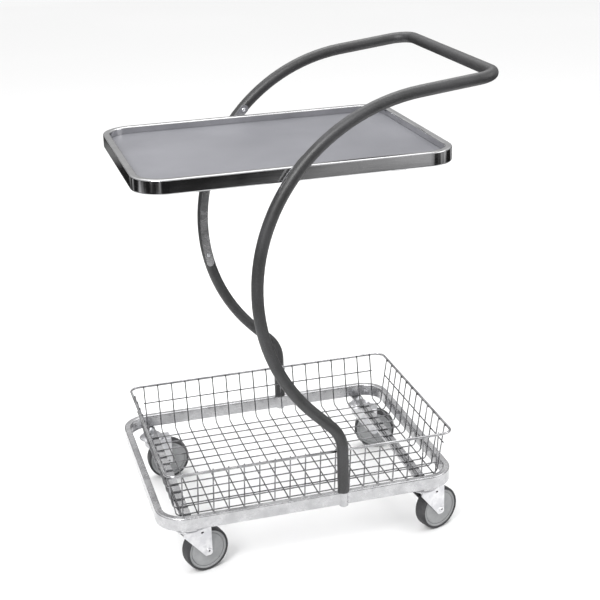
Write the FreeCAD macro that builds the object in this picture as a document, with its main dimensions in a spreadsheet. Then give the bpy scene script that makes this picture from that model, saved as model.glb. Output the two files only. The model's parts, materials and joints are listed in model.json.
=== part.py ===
import FreeCAD, Part
import math
import os
import Sketcher

# Two-level serving trolley: a tubular base frame on four swivel castors, one bent tube that is both
# the uprights and the push handle, a tray between its arms and a loose wire basket in the base.
# Millimetres and degrees, +Z up, the floor at z = 0, the handle end towards +X.

Vector = FreeCAD.Vector
doc = FreeCAD.newDocument("serving_trolley")
sizes = doc.addObject("Spreadsheet::Sheet", "Sizes")
derived = doc.addObject("Spreadsheet::Sheet", "Derived")
subparts = []


def fillSheet(sheet, rows):
    for number, (alias, content, note) in enumerate(rows, 1):
        sheet.set("A%d" % number, note)
        sheet.set("B%d" % number, content)
        sheet.setAlias("B%d" % number, alias)


fillSheet(sizes, [
    ("frameLength", "665", "base frame over its ends"),
    ("frameWidth", "530", "base frame over its sides"),
    ("frameCorner", "63", "outside radius of the frame's corners"),
    ("railHeight", "30", "section of the frame and tray tube"),
    ("railWidth", "15", "section of the frame and tray tube"),
    ("railWall", "1.5", "wall of that tube"),
    ("railEdge", "3", "edge radius of that tube"),
    ("memberWidth", "25", "flat bar across the frame"),
    ("memberThickness", "5", "flat bar across the frame"),
    ("memberInset", "65.5", "frame end to the middle of a flat bar"),
    ("memberEnd", "5", "end of a flat bar to the frame's side"),
    ("castorHeight", "120", "floor to the underside of the flat bars"),
    ("castorInset", "41", "frame side to the swivel axis"),
    ("castorTrail", "37", "swivel axis to wheel axle"),
    ("wheelDiameter", "100", "over the tyre"),
    ("wheelWidth", "30", "over the tyre"),
    ("tyreThickness", "5.5", "tread above the wheel's rim"),
    ("tyreEdge", "4.5", "rounding of the tread's shoulders"),
    ("coreWidth", "26", "wheel disc over its rim"),
    ("hubWidth", "32", "wheel hub over its ends"),
    ("hubDiameter", "24", "outside of the wheel hub"),
    ("hubGap", "0.5", "hub end to fork leg"),
    ("axleDiameter", "8", "tubular axle rivet"),
    ("flangeReach", "2.5", "rivet's flange beyond its shank"),
    ("flangeHeight", "1.5", "rivet's flange"),
    ("axleBore", "4.5", "hole through the rivet"),
    ("bushWall", "1.5", "steel bush in the hub"),
    ("runningGap", "0.05", "radial clearance of turning fits"),
    ("swivelGap", "0.4", "axial clearance of the swivel"),
    ("forkSteel", "2.5", "sheet of the fork"),
    ("forkTail", "20", "swivel axis to the fork's back edge"),
    ("forkNose", "8", "axle to the fork's front edge"),
    ("forkToe", "11", "axle to the fork's lowest point"),
    ("forkBack", "9", "depth of the fork at its back edge"),
    ("toeRound", "4", "rounding of the fork's lower corners"),
    ("forkSlot", "4", "width of the small slot in each leg"),
    ("raceHeight", "11", "bearing housing above the fork"),
    ("raceDiameter", "58", "bearing housing"),
    ("stemDiameter", "8", "bolt that holds the castor"),
    ("stemHead", "5", "height of that bolt's head"),
    ("nutFlats", "13", "domed nut across its flats"),
    ("nutHeight", "6.5", "hexagon of the domed nut"),
    ("swivelFrontLeft", "16", "how far this castor is turned"),
    ("swivelFrontRight", "1.5", "how far this castor is turned"),
    ("swivelRearLeft", "19.5", "how far this castor is turned"),
    ("swivelRearRight", "-21", "how far this castor is turned"),
    ("tubeDiameter", "25", "handle tube"),
    ("tubeWall", "1.5", "handle tube"),
    ("footOffset", "69", "handle's feet in front of the frame's middle"),
    ("footRise", "100", "straight part of each foot"),
    ("kneeRadius", "80", "bend above each foot"),
    ("armLean", "44.5", "slope of the arm above the knee, from upright"),
    ("kneeRun", "52", "straight part between knee and bow"),
    ("bowRadius", "390", "large bow of each arm"),
    ("gripSlope", "6.5", "rise of the grip towards its end"),
    ("gripRun", "123", "straight part of each grip"),
    ("gripCorner", "45", "bend from grip to cross bar"),
    ("pegOutset", "2", "handle's feet outside the rail's middle"),
    ("pegDiameter", "20", "peg where it passes the rail"),
    ("pegGap", "0.1", "peg inside the handle tube"),
    ("pegRise", "82", "peg inside the handle tube"),
    ("pegDrop", "4", "peg below the rail"),
    ("pegHole", "6", "blind hole in the peg's lower end"),
    ("pegScrewHeight", "70", "screw above the rail"),
    ("screwDiameter", "5", "all small screws"),
    ("screwHead", "9", "all small screws"),
    ("screwHeadHeight", "2.4", "all small screws"),
    ("trayHeight", "879", "top edge of the tray's rim"),
    ("trayExtra", "2", "tray longer than the frame"),
    ("trayShift", "6", "tray's middle in front of the frame's middle"),
    ("trayCorner", "67", "outside radius of the tray's corners"),
    ("panelDrop", "15", "board below the rim's top edge"),
    ("panelGap", "0.4", "board to rim"),
    ("tabWidth", "30", "tab that carries the board"),
    ("tabDepth", "32", "tab that carries the board"),
    ("tabThickness", "2", "tab that carries the board"),
    ("tabOffset", "200", "side tabs from the tray's middle"),
    ("bracketWidth", "18", "flat bar between arm and tray"),
    ("bracketThickness", "3", "flat bar between arm and tray"),
    ("bracketAbove", "20", "bracket above the tray's rim"),
    ("bracketBelow", "326", "bracket below the tray's rim tube"),
    ("bracketUpperInset", "12", "upper end of a bracket to its screw"),
    ("bracketLowerInset", "29", "lower end of a bracket to its screw"),
    ("wireDiameter", "3", "basket mesh"),
    ("rimDiameter", "6", "basket rim"),
    ("weldSink", "0.2", "how deep crossing wires melt together"),
    ("basketShift", "11.5", "basket's middle in front of the frame's middle"),
    ("basketEndInset", "10", "frame end to basket rim"),
    ("basketSideGap", "10.5", "rail to basket rim"),
    ("basketDepth", "116", "flat bars to the rim's middle"),
    ("basketCorner", "26", "outside radius of the rim's corners"),
    ("basketTaper", "18", "walls lean out by this much"),
    ("basketFold", "9", "bend from floor to wall"),
    ("basketSeatGap", "0.3", "loose basket above the flat bars"),
    ("sideWireDrop", "41", "rim to the wire along three of the walls"),
    ("leftWireDrop", "74", "rim to the wire along the left wall"),
    ("crossWireMargin", "11", "foot of an end wall to the first wire across"),
    ("longWireMargin", "24", "foot of a side wall to the first wire along"),
    ("longWireShift", "-5.5", "wires along the basket off its middle"),
    ("wireOverhang", "4", "wires along the walls past the last upright"),
    ("crossWireCount", "18", "wires across the basket"),
    ("longWireCount", "12", "wires along the basket"),
])

fillSheet(derived, [
    ("frameBottom", "=Sizes.castorHeight + Sizes.memberThickness", "underside of the frame"),
    ("frameTop", "=frameBottom + Sizes.railHeight", "top of the frame"),
    ("memberX", "=Sizes.frameLength / 2 - Sizes.memberInset", "flat bars from the middle"),
    ("castorY", "=Sizes.frameWidth / 2 - Sizes.castorInset", "swivel axes from the middle"),
    ("armY", "=Sizes.frameWidth / 2 - Sizes.railWidth / 2 + Sizes.pegOutset", "arms from the middle"),
    ("kneeReach", "=Sizes.kneeRadius * tan(Sizes.armLean / 2)", "corner of the knee to its bend"),
    ("kneeZ", "=frameTop + Sizes.footRise + kneeReach", "corner of the knee"),
    ("bowStartX", "=Sizes.footOffset - (kneeReach + Sizes.kneeRun) * sin(Sizes.armLean)", "bow"),
    ("bowStartZ", "=kneeZ + (kneeReach + Sizes.kneeRun) * cos(Sizes.armLean)", "bow"),
    ("bowX", "=bowStartX + Sizes.bowRadius * cos(Sizes.armLean)", "centre of the bow"),
    ("bowZ", "=bowStartZ + Sizes.bowRadius * sin(Sizes.armLean)", "centre of the bow"),
    ("gripX", "=bowX - Sizes.bowRadius * sin(Sizes.gripSlope)", "start of the grip"),
    ("gripZ", "=bowZ + Sizes.bowRadius * cos(Sizes.gripSlope)", "start of the grip"),
    ("barX", "=gripX + (Sizes.gripRun + Sizes.gripCorner) * cos(Sizes.gripSlope)", "cross bar"),
    ("barZ", "=gripZ + (Sizes.gripRun + Sizes.gripCorner) * sin(Sizes.gripSlope)", "cross bar"),
    ("originShift", "=(barX + Sizes.tubeDiameter / 2 - Sizes.frameLength / 2) / 2", "frame to origin"),
    ("trayWidth", "=2 * (armY - Sizes.tubeDiameter / 2 - Sizes.bracketThickness)", "tray over its rim"),
    ("trayLength", "=Sizes.frameLength + Sizes.trayExtra", "tray over its rim"),
    ("trayBottom", "=Sizes.trayHeight - Sizes.railHeight", "underside of the tray's rim"),
    ("forkTop", "=Sizes.castorHeight - Sizes.raceHeight - Sizes.swivelGap", "top of the forks"),
    ("forkInside", "=Sizes.hubWidth + 2 * Sizes.hubGap", "between a fork's legs"),
    ("forkOutside", "=forkInside + 2 * Sizes.forkSteel", "over a fork's legs"),
    ("axleZ", "=Sizes.wheelDiameter / 2", "height of the axles"),
    ("stemHeadTop", "=forkTop - Sizes.forkSteel - Sizes.swivelGap", "seat of the bolt's head"),
    ("basketWidth", "=Sizes.frameWidth - 2 * (Sizes.railWidth + Sizes.basketSideGap)", "over the rim"),
    ("basketLength", "=Sizes.frameLength - 2 * Sizes.basketEndInset", "over the rim"),
    ("rimZ", "=frameBottom + Sizes.basketDepth", "height of the basket's rim"),
    ("longWireZ", "=frameBottom + Sizes.basketSeatGap + Sizes.wireDiameter / 2", "wires along the floor"),
    ("crossWireZ", "=longWireZ + Sizes.wireDiameter - Sizes.weldSink", "wires across the floor"),
])
doc.recompute()


def value(expression):
    return float(sizes.evalExpression(str(expression)))


# ---- sketches and bodies

def originPlane(body, role):
    for feature in body.Origin.OriginFeatures:
        if feature.Role == role:
            return feature
    raise ValueError(role)


def newSketch(body, name, role, x="0", y="0", z="0"):
    sketch = body.newObject("Sketcher::SketchObject", name)
    sketch.AttachmentSupport = (originPlane(body, role), [""])
    sketch.MapMode = "FlatFace"
    sketch.setExpression("AttachmentOffset.Base.x", x)
    sketch.setExpression("AttachmentOffset.Base.y", y)
    sketch.setExpression("AttachmentOffset.Base.z", z)
    return sketch


def bind(sketch, constraint, expression):
    index = sketch.addConstraint(constraint)
    sketch.setExpression("Constraints[%d]" % index, expression)


def pinPoint(sketch, geometry, point, x, y):
    if x == "0":
        sketch.addConstraint(Sketcher.Constraint("PointOnObject", geometry, point, -2))
    else:
        bind(sketch, Sketcher.Constraint("DistanceX", -1, 1, geometry, point, value(x)), x)
    if y == "0":
        sketch.addConstraint(Sketcher.Constraint("PointOnObject", geometry, point, -1))
    else:
        bind(sketch, Sketcher.Constraint("DistanceY", -1, 1, geometry, point, value(y)), y)


def addPolygon(sketch, corners):
    points = [Vector(value(x), value(y), 0) for x, y in corners]
    first = sketch.GeometryCount
    count = len(points)
    for index, point in enumerate(points):
        sketch.addGeometry(Part.LineSegment(point, points[(index + 1) % count]), False)
    for index in range(count):
        following = first + (index + 1) % count
        sketch.addConstraint(Sketcher.Constraint("Coincident", first + index, 2, following, 1))
    for index, (x, y) in enumerate(corners):
        pinPoint(sketch, first + index, 1, x, y)


def addCircle(sketch, x, y, radius):
    circle = Part.Circle(Vector(value(x), value(y), 0), Vector(0, 0, 1), value(radius))
    index = sketch.addGeometry(circle, False)
    bind(sketch, Sketcher.Constraint("Radius", index, value(radius)), radius)
    pinPoint(sketch, index, 3, x, y)


def addRoundedRectangle(sketch, length, width, radius, x="0", y="0"):
    halfLength = value("(%s) / 2" % length)
    halfWidth = value("(%s) / 2" % width)
    corner = value(radius)
    middle = Vector(value(x), value(y), 0)
    first = sketch.GeometryCount
    for quarter in range(4):
        signX = (1, -1, -1, 1)[quarter]
        signY = (1, 1, -1, -1)[quarter]
        centre = middle + Vector(signX * (halfLength - corner), signY * (halfWidth - corner), 0)
        circle = Part.Circle(centre, Vector(0, 0, 1), corner)
        start = math.radians(90 * quarter)
        sketch.addGeometry(Part.ArcOfCircle(circle, start, start + math.pi / 2), False)
    for quarter in range(4):
        start = sketch.Geometry[first + quarter].EndPoint
        end = sketch.Geometry[first + (quarter + 1) % 4].StartPoint
        sketch.addGeometry(Part.LineSegment(start, end), False)
    for quarter in range(4):
        line = first + 4 + quarter
        following = first + (quarter + 1) % 4
        sketch.addConstraint(Sketcher.Constraint("Tangent", first + quarter, 2, line, 1))
        sketch.addConstraint(Sketcher.Constraint("Tangent", line, 2, following, 1))
        direction = "Horizontal" if quarter % 2 == 0 else "Vertical"
        sketch.addConstraint(Sketcher.Constraint(direction, line))
    for quarter in (1, 2, 3):
        sketch.addConstraint(Sketcher.Constraint("Equal", first, first + quarter))
    spanX = 2 * (halfLength - corner)
    spanY = 2 * (halfWidth - corner)
    bind(sketch, Sketcher.Constraint("Radius", first, corner), radius)
    bind(sketch, Sketcher.Constraint("DistanceX", first + 1, 3, first, 3, spanX),
         "(%s) - 2 * (%s)" % (length, radius))
    bind(sketch, Sketcher.Constraint("DistanceY", first + 3, 3, first, 3, spanY),
         "(%s) - 2 * (%s)" % (width, radius))
    pinPoint(sketch, first, 3, "(%s) + (%s) / 2 - (%s)" % (x, length, radius),
             "(%s) + (%s) / 2 - (%s)" % (y, width, radius))


def newBody(name):
    return doc.addObject("PartDesign::Body", name)


def pad(body, sketch, length, middle=False):
    feature = body.newObject("PartDesign::Pad", sketch.Name + "_pad")
    feature.Profile = sketch
    feature.setExpression("Length", length)
    feature.Midplane = middle
    return feature


def pocketThrough(body, sketch):
    doc.recompute()
    before = body.Shape.Volume
    feature = body.newObject("PartDesign::Pocket", sketch.Name + "_pocket")
    feature.Profile = sketch
    feature.Type = "ThroughAll"
    feature.Midplane = True
    doc.recompute()
    if body.Shape.Volume >= before:
        raise ValueError("nothing removed by " + feature.Name)
    return feature


def roundEdges(body, radius, chosen):
    doc.recompute()
    tip = body.Tip
    names = []
    for number, edge in enumerate(tip.Shape.Edges, 1):
        if chosen(edge):
            names.append("Edge%d" % number)
    feature = body.newObject("PartDesign::Fillet", body.Name + "_round%d" % len(body.Group))
    feature.Base = (tip, names)
    feature.setExpression("Radius", radius)
    return feature


def turned(name, plane, outline, x="0", y="0", z="0"):
    # a solid of revolution about the sketch's own upright axis
    body = newBody(name)
    sketch = newSketch(body, name + "_outline", plane, x, y, z)
    addPolygon(sketch, outline)
    feature = body.newObject("PartDesign::Revolution", name + "_turned")
    feature.Profile = sketch
    feature.ReferenceAxis = (sketch, ["V_Axis"])
    feature.Angle = 360
    return body


def place(item, x="0", y="0", z="0", turn="0"):
    template = "placement(vector(%s - Derived.originShift; %s; %s); rotation(vector(0; 0; 1); %s))"
    item.setExpression("Placement", template % (x, y, z, turn))


def box(name, length, width, height, x, y, z):
    # a block given by its size and the middle of its underside
    item = doc.addObject("Part::Box", name)
    item.setExpression("Length", length)
    item.setExpression("Width", width)
    item.setExpression("Height", height)
    place(item, "%s - (%s) / 2" % (x, length), "%s - (%s) / 2" % (y, width), z)
    return item


def cylinder(name, radius, height, x, y, z):
    item = doc.addObject("Part::Cylinder", name)
    item.setExpression("Radius", radius)
    item.setExpression("Height", height)
    place(item, x, y, z)
    return item


def join(name, items):
    item = doc.addObject("Part::MultiFuse", name)
    item.Shapes = items
    return item


def cut(name, base, tool):
    item = doc.addObject("Part::Cut", name)
    item.Base = base
    item.Tool = tool
    return item


def keep(name, item):
    item.Label = name
    subparts.append((name, item))
    return item


# ---- bent rods, tubes and repeated shapes

def roundedPath(points, radii, closed=False):
    # straight runs joined by tangent arcs; an open path keeps its first and last point
    count = len(points)
    corners = {}
    for index in range(count) if closed else range(1, count - 1):
        point = points[index]
        back = (points[index - 1] - point).normalize()
        ahead = (points[(index + 1) % count] - point).normalize()
        turn = math.pi - back.getAngle(ahead)
        reach = radii[index] * math.tan(turn / 2)
        inward = (back + ahead).normalize()
        middle = point + inward * (radii[index] / math.cos(turn / 2) - radii[index])
        corners[index] = (point + back * reach, middle, point + ahead * reach)
    edges = []
    cursor = points[0]
    if closed:
        cursor = corners[count - 1][2]
    for index in sorted(corners):
        start, middle, end = corners[index]
        edges.append(Part.makeLine(cursor, start))
        edges.append(Part.Arc(start, middle, end).toShape())
        cursor = end
    if not closed:
        edges.append(Part.makeLine(cursor, points[-1]))
    return Part.Wire(edges)


def rod(path, radius):
    edge = path.Edges[0]
    start = edge.valueAt(edge.FirstParameter)
    direction = edge.tangentAt(edge.FirstParameter)
    profile = Part.Wire([Part.Circle(start, direction, radius).toShape()])
    return path.makePipeShell([profile], True, False)


def feature(name, shape):
    # a shape in the frame's own coordinates, moved to the trolley's origin
    item = doc.addObject("Part::Feature", name)
    item.Shape = shape
    place(item)
    return keep(name, item)


def screwShape(head, thread, direction):
    # a pan-head screw: the seat of its head at the start, its thread along the direction
    radius = value("Sizes.screwDiameter / 2")
    headRadius = value("Sizes.screwHead / 2")
    headHeight = value("Sizes.screwHeadHeight")
    shank = Part.makeCylinder(radius, thread, head, direction)
    cap = Part.makeCylinder(headRadius, headHeight, head, -direction)
    rounded = [edge for edge in cap.Edges if (edge.CenterOfMass - head).dot(direction) < -headHeight / 2
               and edge.Curve.TypeId == "Part::GeomCircle"]
    cap = cap.makeFillet(headHeight * 0.6, rounded)
    return shank.fuse(cap)


# ---- base frame

def tubeRing(name, length, width, corner, z, x="0"):
    # a closed rectangular tube bent into a rounded rectangle
    outside = newBody(name + "_outside")
    sketch = newSketch(outside, name + "_plan", "XY_Plane")
    addRoundedRectangle(sketch, length, width, corner)
    addRoundedRectangle(sketch, "%s - 2 * Sizes.railWidth" % length, "%s - 2 * Sizes.railWidth" % width,
                        "%s - Sizes.railWidth" % corner)
    pad(outside, sketch, "Sizes.railHeight")
    top = value("Sizes.railHeight")
    roundEdges(outside, "Sizes.railEdge",
               lambda edge: abs(edge.BoundBox.ZLength) < 0.01 and
               (abs(edge.BoundBox.ZMin) < 0.01 or abs(edge.BoundBox.ZMin - top) < 0.01))
    place(outside, x, "0", z)
    hollow = newBody(name + "_hollow")
    sketch = newSketch(hollow, name + "_hollow_plan", "XY_Plane")
    wall = "Sizes.railWall"
    inner = "Sizes.railWidth - Sizes.railWall"
    addRoundedRectangle(sketch, "%s - 2 * %s" % (length, wall), "%s - 2 * %s" % (width, wall),
                        "%s - %s" % (corner, wall))
    addRoundedRectangle(sketch, "%s - 2 * (%s)" % (length, inner), "%s - 2 * (%s)" % (width, inner),
                        "%s - (%s)" % (corner, inner))
    pad(hollow, sketch, "Sizes.railHeight - 2 * Sizes.railWall")
    place(hollow, x, "0", "%s + %s" % (z, wall))
    return cut(name + "_tube", outside, hollow)


def makeBaseFrame():
    ring = tubeRing("frame", "Sizes.frameLength", "Sizes.frameWidth", "Sizes.frameCorner",
                    "Derived.frameBottom")
    pegHoles = join("peg_holes", [
        cylinder("peg_hole_%s" % side, "Sizes.pegDiameter / 2", "Sizes.railHeight + 20",
                 "Sizes.footOffset", "%s * Derived.armY" % sign, "Derived.frameBottom - 10")
        for side, sign in (("left", "-1"), ("right", "1"))])
    for end, sign in (("front", "1"), ("rear", "-1")):
        # each half keeps the side of the pegs that faces its own end
        length = "Sizes.frameLength"
        other = box("frame_other_%s" % end, length, "Sizes.frameWidth + 20", "Sizes.railHeight + 20",
                    "Sizes.footOffset + %s * %s / 2" % (sign, length), "0", "Derived.frameBottom - 10")
        half = cut("frame_half_%s" % end, ring, other)
        keep("base_rail_" + end, cut("frame_bend_%s" % end, half, pegHoles))


def makeCrossMembers():
    for end, sign in (("front", "-1"), ("rear", "1")):
        x = "%s * Derived.memberX" % sign
        bar = box("bar_%s" % end, "Sizes.memberWidth", "Sizes.frameWidth - 2 * Sizes.memberEnd",
                  "Sizes.memberThickness", x, "0", "Sizes.castorHeight")
        holes = join("bar_holes_%s" % end, [
            cylinder("bar_hole_%s_%s" % (end, side), "Sizes.stemDiameter / 2",
                     "Sizes.memberThickness + 2", x, "%s * Derived.castorY" % across,
                     "Sizes.castorHeight - 1")
            for side, across in (("left", "-1"), ("right", "1"))])
        keep("cross_member_" + end, cut("bar_drilled_%s" % end, bar, holes))


# ---- handle

def handlePath():
    armY = value("Derived.armY")
    foot = value("Sizes.footOffset")
    knee = value("Sizes.kneeRadius")
    bow = value("Sizes.bowRadius")
    corner = value("Sizes.gripCorner")
    bowCentre = Vector(value("Derived.bowX"), 0, value("Derived.bowZ"))
    bowStart = Vector(value("Derived.bowStartX"), 0, value("Derived.bowStartZ"))
    grip = Vector(value("Derived.gripX"), 0, value("Derived.gripZ"))
    bar = Vector(value("Derived.barX"), 0, value("Derived.barZ"))
    leanDirection = (bowStart - Vector(foot, 0, value("Derived.kneeZ"))).normalize()
    along = (bar - grip).normalize()
    kneeEnd = bowStart - leanDirection * value("Sizes.kneeRun")
    halfLean = math.radians(value("Sizes.armLean / 2"))
    kneeStart = Vector(foot, 0, value("Derived.frameTop + Sizes.footRise"))
    kneeMiddle = Vector(foot - knee * (1 - math.cos(halfLean)), 0, kneeStart.z + knee * math.sin(halfLean))
    bowMiddle = bowCentre + ((bowStart + grip) * 0.5 - bowCentre).normalize() * bow
    cornerStart = bar - along * corner
    arm = [
        ("line", Vector(foot, 0, value("Derived.frameTop")), kneeStart),
        ("arc", kneeStart, kneeMiddle, kneeEnd),
        ("line", kneeEnd, bowStart),
        ("arc", bowStart, bowMiddle, grip),
        ("line", grip, cornerStart),
    ]
    bend = 1 - math.cos(math.pi / 4)

    def edgesOf(side):
        edges = []
        for piece in arm:
            points = [point + Vector(0, side * armY, 0) for point in piece[1:]]
            if piece[0] == "line":
                edges.append(Part.makeLine(points[0], points[1]))
            else:
                edges.append(Part.Arc(points[0], points[1], points[2]).toShape())
        start = cornerStart + Vector(0, side * armY, 0)
        end = bar + Vector(0, side * (armY - corner), 0)
        middle = bar + Vector(0, side * armY, 0) - (along + Vector(0, side, 0)) * (corner * bend)
        edges.append(Part.Arc(start, middle, end).toShape())
        return edges

    left = edgesOf(-1)
    right = edgesOf(1)
    bridge = Part.makeLine(bar + Vector(0, corner - armY, 0), bar + Vector(0, armY - corner, 0))
    return Part.Wire(left + [bridge] + right[::-1])


def pegScrewPlaces():
    places = []
    for side in (-1, 1):
        seat = Vector(value("Sizes.footOffset + Sizes.tubeDiameter / 2"), side * value("Derived.armY"),
                      value("Derived.frameTop + Sizes.pegScrewHeight"))
        places.append(seat)
    return places


def makeHandle():
    path = handlePath()
    outside = rod(path, value("Sizes.tubeDiameter / 2"))
    inside = rod(path, value("Sizes.tubeDiameter / 2 - Sizes.tubeWall"))
    tube = outside.cut(inside)
    screwRadius = value("Sizes.screwDiameter / 2")
    for seat in pegScrewPlaces():
        hole = Part.makeCylinder(screwRadius, value("Sizes.tubeDiameter / 2"), seat + Vector(2, 0, 0),
                                 Vector(-1, 0, 0))
        tube = tube.cut(hole)
    for seat, direction in bracketScrewPlaces():
        hole = Part.makeCylinder(screwRadius, value("Sizes.tubeDiameter / 2"), seat, direction)
        tube = tube.cut(hole)
    feature("handle_tube", tube)


def makePegs():
    inside = "(Sizes.tubeDiameter / 2 - Sizes.tubeWall - Sizes.pegGap)"
    outside = "(Sizes.pegDiameter / 2)"
    bottom = "(Derived.frameBottom - Sizes.pegDrop)"
    top = "(Derived.frameTop + Sizes.pegRise)"
    for side, sign in (("left", "-1"), ("right", "1")):
        blank = turned("peg_blank_" + side, "XZ_Plane", [
            ("Sizes.pegHole / 2", bottom), (outside + " - 1", bottom), (outside, bottom + " + 1"),
            (outside, "Derived.frameTop"), (inside, "Derived.frameTop"), (inside, top + " - 2"),
            (inside + " - 2", top), ("0", top), ("0", bottom + " + 14"),
            ("Sizes.pegHole / 2", bottom + " + 14")])
        place(blank, "Sizes.footOffset", "%s * Derived.armY" % sign)
        hole = doc.addObject("Part::Cylinder", "peg_screw_hole_" + side)
        hole.setExpression("Radius", "Sizes.screwDiameter / 2")
        hole.setExpression("Height", "Sizes.tubeDiameter / 2")
        # the cylinder lies along the trolley, from the peg's middle towards the handle end
        hole.setExpression("Placement", "placement(vector(Sizes.footOffset - Derived.originShift; "
                           "%s * Derived.armY; Derived.frameTop + Sizes.pegScrewHeight); "
                           "rotation(vector(0; 1; 0); 90))" % sign)
        keep("handle_peg_" + side, cut("peg_" + side, blank, hole))
    length = value("Sizes.tubeDiameter / 2")
    screws = [screwShape(seat, length, Vector(-1, 0, 0)) for seat in pegScrewPlaces()]
    feature("peg_screws", Part.makeCompound(screws))


# ---- tray

def bowPoint(z, side, inset=0):
    # where the arm's bow passes a height, moved down along the bow by inset
    radius = value("Sizes.bowRadius")
    angle = math.pi - math.asin((z - value("Derived.bowZ")) / radius)
    angle += inset / radius
    return Vector(value("Derived.bowX") + radius * math.cos(angle), side,
                  value("Derived.bowZ") + radius * math.sin(angle))


def bracketEnds():
    top = value("Sizes.trayHeight + Sizes.bracketAbove")
    bottom = value("Derived.trayBottom - Sizes.bracketBelow")
    return bottom, top


def bracketScrewPlaces():
    # the heads sit on the bracket's inner face and the threads run outwards into the arm
    bottom, top = bracketEnds()
    upper = value("Sizes.bracketUpperInset")
    lower = value("Sizes.bracketLowerInset")
    places = []
    for side in (-1, 1):
        face = side * value("Derived.trayWidth / 2")
        places.append((bowPoint(top, face, upper), Vector(0, side, 0)))
        places.append((bowPoint(bottom, face, -lower), Vector(0, side, 0)))
    return places


def makeBrackets():
    bottom, top = bracketEnds()
    half = value("Sizes.bracketWidth / 2")
    thickness = value("Sizes.bracketThickness")
    radius = value("Sizes.bowRadius")
    centre = Vector(value("Derived.bowX"), 0, value("Derived.bowZ"))
    start = bowPoint(bottom, 0, -half)
    end = bowPoint(top, 0, half)
    middle = centre + ((start + end) * 0.5 - centre).normalize() * radius

    def offset(point, distance):
        return point + (point - centre).normalize() * distance

    def endCap(point, outward):
        tangent = Vector(0, 1, 0).cross(point - centre).normalize() * (half * outward)
        return Part.Arc(offset(point, half), point + tangent, offset(point, -half)).toShape()

    outer = Part.Arc(offset(start, half), offset(middle, half), offset(end, half)).toShape()
    inner = Part.Arc(offset(start, -half), offset(middle, -half), offset(end, -half)).toShape()
    outline = Part.Wire(Part.__sortEdges__([outer, endCap(end, 1), inner, endCap(start, -1)]))
    holeRadius = value("Sizes.screwDiameter / 2")
    for side, sign in (("left", -1), ("right", 1)):
        face = sign * value("Derived.trayWidth / 2")
        plate = Part.Face(outline).extrude(Vector(0, sign * thickness, 0))
        plate.translate(Vector(0, face, 0))
        for seat, direction in bracketScrewPlaces():
            if direction.y == sign:
                plate = plate.cut(Part.makeCylinder(holeRadius, thickness, seat, direction))
        feature("tray_bracket_" + side, plate)
    length = value("Sizes.bracketThickness + Sizes.tubeDiameter / 2")
    screws = [screwShape(seat, length, direction) for seat, direction in bracketScrewPlaces()]
    feature("bracket_screws", Part.makeCompound(screws))


def tabPlaces():
    # the side tabs in pairs and one tab at each end, as the name, the middle of its rim edge
    # and the direction inwards
    places = []
    x = value("Sizes.tabOffset")
    middle = value("Sizes.trayShift")
    halfWidth = value("Derived.trayWidth / 2")
    halfLength = value("Derived.trayLength / 2")
    for side, sign in (("left", -1), ("right", 1)):
        places.append(("front_" + side, Vector(middle - x, sign * halfWidth, 0), Vector(0, -sign, 0)))
        places.append(("rear_" + side, Vector(middle + x, sign * halfWidth, 0), Vector(0, -sign, 0)))
    places.append(("front_end", Vector(middle - halfLength, 0, 0), Vector(1, 0, 0)))
    places.append(("rear_end", Vector(middle + halfLength, 0, 0), Vector(-1, 0, 0)))
    return places


def tabScrewSeat(edge, inward):
    reach = value("Sizes.railWidth") / 2 + value("Sizes.tabDepth") * 0.75
    height = value("Derived.trayBottom - Sizes.tabThickness")
    return edge + inward * reach + Vector(0, 0, height)


def makeTray():
    ring = tubeRing("tray", "Derived.trayLength", "Derived.trayWidth", "Sizes.trayCorner",
                    "Derived.trayBottom", "Sizes.trayShift")
    keep("tray_frame", ring)
    board = newBody("board")
    plan = newSketch(board, "board_plan", "XY_Plane")
    room = "2 * (Sizes.railWidth + Sizes.panelGap)"
    addRoundedRectangle(plan, "Derived.trayLength - " + room, "Derived.trayWidth - " + room,
                        "Sizes.trayCorner - Sizes.railWidth - Sizes.panelGap")
    pad(board, plan, "Sizes.railHeight - Sizes.panelDrop")
    place(board, "Sizes.trayShift", "0", "Derived.trayBottom")
    holes = []
    for name, edge, inward in tabPlaces():
        seat = tabScrewSeat(edge, inward)
        holes.append(Part.makeCylinder(value("Sizes.screwDiameter / 2"), value("Sizes.panelDrop") * 0.75,
                                       seat, Vector(0, 0, 1)))
    drill = doc.addObject("Part::Feature", "board_holes")
    drill.Shape = Part.makeCompound(holes)
    place(drill)
    keep("tray_panel", cut("board_drilled", board, drill))
    makeTabs()


def makeTabs():
    width = value("Sizes.tabWidth")
    depth = value("Sizes.tabDepth")
    thickness = value("Sizes.tabThickness")
    bottom = value("Derived.trayBottom") - thickness
    start = value("Sizes.railWidth") / 2
    screws = []
    for name, edge, inward in tabPlaces():
        across = Vector(0, 0, 1).cross(inward)
        corner = edge + inward * start - across * (width / 2) + Vector(0, 0, bottom)
        points = [corner, corner + inward * depth, corner + inward * depth + across * width,
                  corner + across * width, corner]
        plate = Part.Face(Part.makePolygon(points)).extrude(Vector(0, 0, thickness))
        far = [e for e in plate.Edges if e.BoundBox.ZLength > thickness / 2
               and (e.CenterOfMass - corner).dot(inward) > depth / 2]
        plate = plate.makeFillet(width * 0.25, far)
        seat = tabScrewSeat(edge, inward)
        plate = plate.cut(Part.makeCylinder(value("Sizes.screwDiameter / 2"), thickness, seat))
        feature("panel_tab_" + name, plate)
        screws.append(screwShape(seat, thickness + value("Sizes.panelDrop") * 0.6, Vector(0, 0, 1)))
    feature("panel_screws", Part.makeCompound(screws))


# ---- basket

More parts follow.
